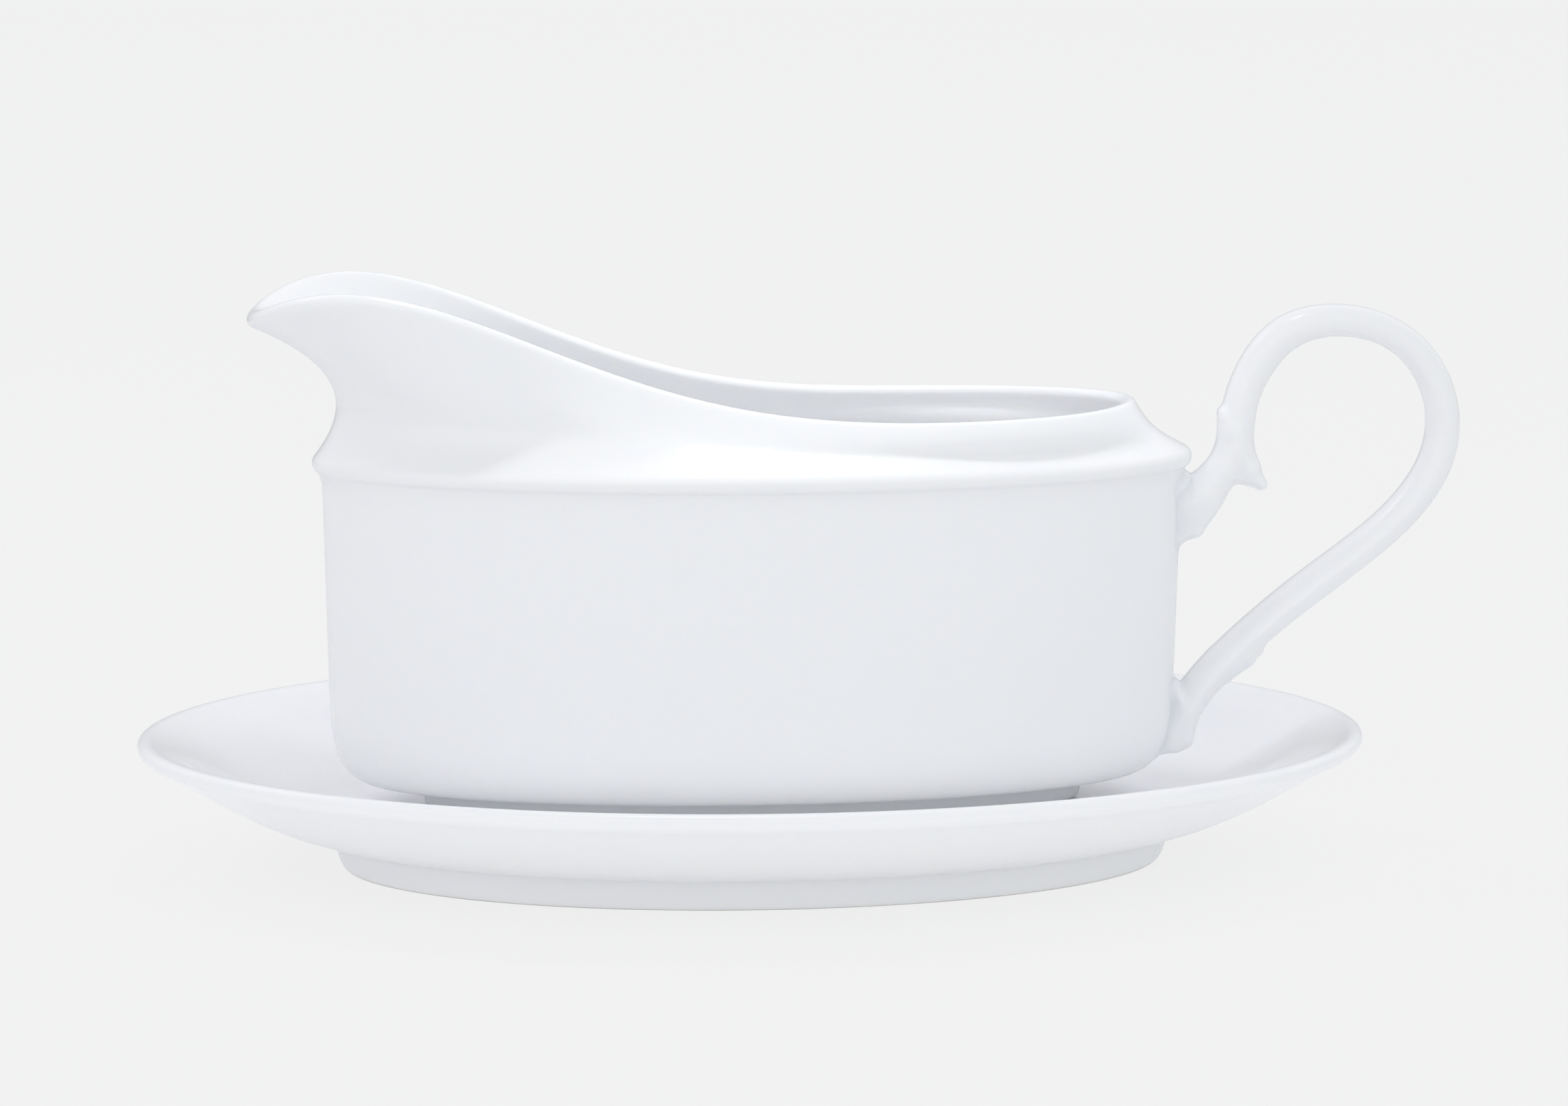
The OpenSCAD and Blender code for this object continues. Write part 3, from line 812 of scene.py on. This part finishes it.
# ---------------------------------------------------------------- room
# The room is a white tent: an even part and soft lobes of light. Rows of lobes are
# (name, elevation, {azimuth from the front: red, green and blue strength}), in degrees.
# Azimuth grows towards the handle end.
EVEN = (0.091, 0.092, 0.094)
LOBE_SHARPNESS = 5
LOBES = [
    ("low", 12, {
        0: (0.564, 0.572, 0.578), 45: (0.585, 0.612, 0.618), 90: (0.370, 0.388, 0.398),
        135: (0.52, 0.52, 0.53), 225: (0.56, 0.56, 0.57), 270: (0.329, 0.327, 0.343),
        315: (0.502, 0.492, 0.505)}),
    ("high", 50, {
        0: (0.293, 0.299, 0.301), 72: (0.178, 0.186, 0.185), 144: (0.706, 0.697, 0.740),
        216: (0.503, 0.521, 0.562), 288: (0.212, 0.219, 0.222)})]


def direction_from(azimuth, elevation):
    """Unit vector towards a place, with the azimuth from the front and angles in radians."""
    return (math.sin(azimuth) * math.cos(elevation), -math.cos(azimuth) * math.cos(elevation),
            math.sin(elevation))


def add_lobe(tree, direction, total, name, towards, strength):
    dot = add_node(tree, "VectorMath", {0: direction, 1: towards}, operation="DOT_PRODUCT")
    clip = add_node(tree, "Math", {0: dot.outputs["Value"], 1: 0.0}, operation="MAXIMUM")
    power = add_node(tree, "Math", {0: clip.outputs[0], 1: LOBE_SHARPNESS}, operation="POWER")
    return add_node(tree, "VectorMath", {0: power.outputs[0], 1: strength, 2: total},
                    name=name, operation="MULTIPLY_ADD").outputs[0]


def room():
    world = bpy.data.worlds.new("room")
    scene.world = world
    world.use_nodes = True
    tree = world.node_tree
    direction = add_node(tree, "TexCoord").outputs["Generated"]
    total = add_node(tree, "CombineXYZ", dict(enumerate(EVEN)), name="even").outputs[0]
    for row, elevation, lobes in LOBES:
        for azimuth, strength in lobes.items():
            towards = direction_from(azimuth * DEG, elevation * DEG)
            total = add_lobe(tree, direction, total, f"{row}{azimuth}", towards, strength)
    background = tree.nodes["Background"]
    background.inputs["Strength"].default_value = 1.0
    tree.links.new(total, background.inputs["Color"])


room()


# ---------------------------------------------------------------- softboxes
def softbox(name, place, aim_z, size, watts, spread=None):
    """Area light out of the camera's sight, aimed at a height on the Z axis."""
    light = bpy.data.lights.new(name, "AREA")
    light.shape = "RECTANGLE"
    light.size, light.size_y = size
    light.energy = watts
    if spread is not None:
        light.spread = spread
    ob = bpy.data.objects.new(name, light)
    scene.collection.objects.link(ob)
    ob.location = place
    aim = Vector((0, 0, aim_z)) - Vector(place)
    ob.rotation_euler = aim.to_track_quat("-Z", "Y").to_euler()
    ob.visible_camera = False


softbox("overhead", place=(0.45, -0.45, 1.05), aim_z=0.05, size=(2.2, 0.7), watts=1.0)
softbox("front_left", place=(-1.25, -1.45, 0.85), aim_z=0.06, size=(2.2, 2.0), watts=4.05)
softbox("back_left", place=(-0.70, 0.40, 0.95), aim_z=0.06, size=(0.35, 0.35), watts=0.55)
# a narrow light straight down into the bowl
softbox("bowl", place=(0.0, 0.0, 0.40), aim_z=0.05, size=(0.12, 0.03), watts=0.016, spread=0.5)

# ---------------------------------------------------------------- camera
# seen from slightly left of the front and a little above, with a long lens
CAMERA_AZIMUTH, CAMERA_ELEVATION, CAMERA_ROLL = -0.1024, 0.1734, 0.0032   # radians
CAMERA_DISTANCE = 0.800
CAMERA_TARGET = Vector((0, 0, 0.045))
SENSOR_MM, LENS_MM = 36.0, 98.176829
SHIFT_X, SHIFT_Y = 0.018554007, 0.044163763        # in sensor widths


def camera():
    back = Vector(direction_from(CAMERA_AZIMUTH, CAMERA_ELEVATION))
    level = (-back).cross(Vector((0, 0, 1))).normalized()
    upright = level.cross(-back)
    cos_roll, sin_roll = math.cos(CAMERA_ROLL), math.sin(CAMERA_ROLL)
    right = level * cos_roll + upright * sin_roll
    up = upright * cos_roll - level * sin_roll
    data = bpy.data.cameras.new("camera")
    data.sensor_width = SENSOR_MM
    data.lens = LENS_MM
    data.shift_x, data.shift_y = SHIFT_X, SHIFT_Y
    data.clip_start = 0.01
    ob = bpy.data.objects.new("camera", data)
    scene.collection.objects.link(ob)
    place = Matrix((right, up, back)).transposed().to_4x4()
    place.translation = CAMERA_TARGET + back * CAMERA_DISTANCE
    ob.matrix_world = place
    scene.camera = ob


camera()
scene.view_settings.view_transform = "Standard"
scene.view_settings.look = "None"
